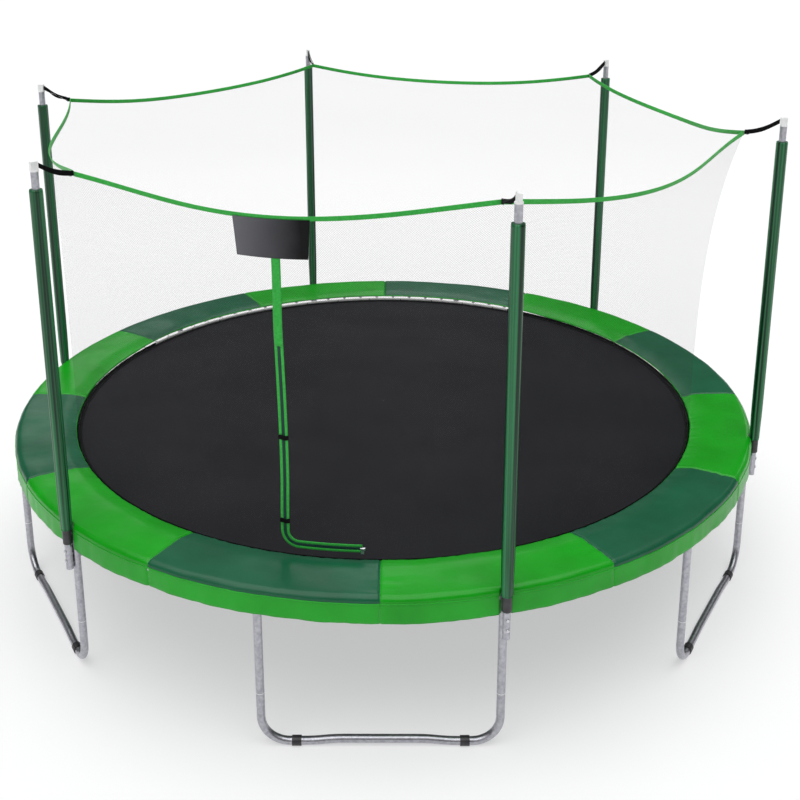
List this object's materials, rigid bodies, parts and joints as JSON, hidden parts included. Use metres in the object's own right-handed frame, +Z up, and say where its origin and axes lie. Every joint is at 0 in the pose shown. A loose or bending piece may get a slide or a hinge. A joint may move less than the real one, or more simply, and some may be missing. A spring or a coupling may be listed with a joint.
{
  "type": "backyard trampoline",
  "caption": "Round backyard trampoline on U-shaped legs, with spring-hung mat, padded rim and a zipped safety net hung from padded poles.",
  "frame": {"origin": "on the ground under the centre of the mat", "axes": "+Z up; -Y towards the side with the door's zipper end and the first U leg"},
  "size_m": [4.588, 4.588, 2.826],
  "materials": {
    "galvanised_tube": "galvanised, satin",
    "zinc_hardware": "zinc plated",
    "spring_steel": "zinc plated wire",
    "bright_pvc": "glossy bright green PVC-coated fabric",
    "dark_pvc": "glossy dark green PVC-coated fabric",
    "foam_sleeve": "glossy dark green sleeve over foam",
    "mat_fabric": "woven black polypropylene",
    "hem_webbing": "black webbing",
    "netting": "fine knitted mesh",
    "green_webbing": "woven green webbing",
    "white_hem": "white binding",
    "black_webbing": "woven black webbing",
    "banner": "blank black banner cloth",
    "zipper_coil": "nylon coil",
    "black_plastic": "moulded",
    "white_plastic": "translucent white, moulded"
  },
  "bodies": {
    "frame": {"top_rails_1": "galvanised_tube", "leg_base_1": "galvanised_tube", "leg_posts_1": "galvanised_tube", "pole_upper_1": "galvanised_tube", "net_panel_1": "netting", "top_rails_2": "galvanised_tube", "leg_base_2": "galvanised_tube", "leg_posts_2": "galvanised_tube", "pole_upper_2": "galvanised_tube", "net_panel_2": "netting", "top_rails_3": "galvanised_tube", "leg_base_3": "galvanised_tube", "leg_posts_3": "galvanised_tube", "pole_upper_3": "galvanised_tube", "net_panel_3": "netting", "top_rails_4": "galvanised_tube", "leg_base_4": "galvanised_tube", "leg_posts_4": "galvanised_tube", "pole_upper_4": "galvanised_tube", "net_panel_4": "netting", "top_rails_5": "galvanised_tube", "leg_base_5": "galvanised_tube", "leg_posts_5": "galvanised_tube", "pole_upper_5": "galvanised_tube", "net_panel_5": "netting", "top_rails_6": "galvanised_tube", "leg_base_6": "galvanised_tube", "leg_posts_6": "galvanised_tube", "pole_upper_6": "galvanised_tube", "net_panel_6": "netting", "t_sockets": "galvanised_tube", "pole_lowers": "galvanised_tube", "joint_rings": "white_plastic", "foot_bands": "black_plastic", "foam_sleeves": "foam_sleeve", "sleeve_end_caps": "black_plastic", "pole_caps": "white_plastic", "pole_spacers": "black_plastic", "pole_bolts": "zinc_hardware", "pole_nuts": "zinc_hardware", "springs": "spring_steel", "pad_bright": "bright_pvc", "pad_dark": "dark_pvc", "pad_skirt": "bright_pvc", "net_top_webbing": "green_webbing", "net_hem": "white_hem", "corner_rings": "zinc_hardware", "pole_straps": "black_webbing", "label_banner": "banner", "door_strap": "green_webbing", "zipper_tapes": "green_webbing", "zipper_chain": "zipper_coil", "door_tabs": "black_webbing"},
    "mat": {"mat": "mat_fabric", "mat_hem": "hem_webbing", "v_rings": "spring_steel"},
    "zipper_slider": {"zipper_slider": "zinc_hardware"},
    "zipper_pull": {"zipper_pull": "zinc_hardware"}
  },
  "joints": [
    {"name": "mat_bounce", "type": "slide", "parent": "frame", "child": "mat", "axis": [0, 0, 1], "range_m": [-0.35, 0], "stiffness_N_per_m": 9000, "springref_m": 0.05, "deforming": ["springs"]},
    {"name": "zipper_slide", "type": "hinge", "parent": "frame", "child": "zipper_slider", "pos_m": [0, 0, 0.933], "axis": [0, 0, 1], "range_deg": [-8.8, 0]},
    {"name": "pull_swing", "type": "hinge", "parent": "zipper_slider", "child": "zipper_pull", "pos_m": [-0.08785, -1.93451, 0.935], "axis": [-0.999, 0.0454, 0], "range_deg": [0, 160]}
  ]
}
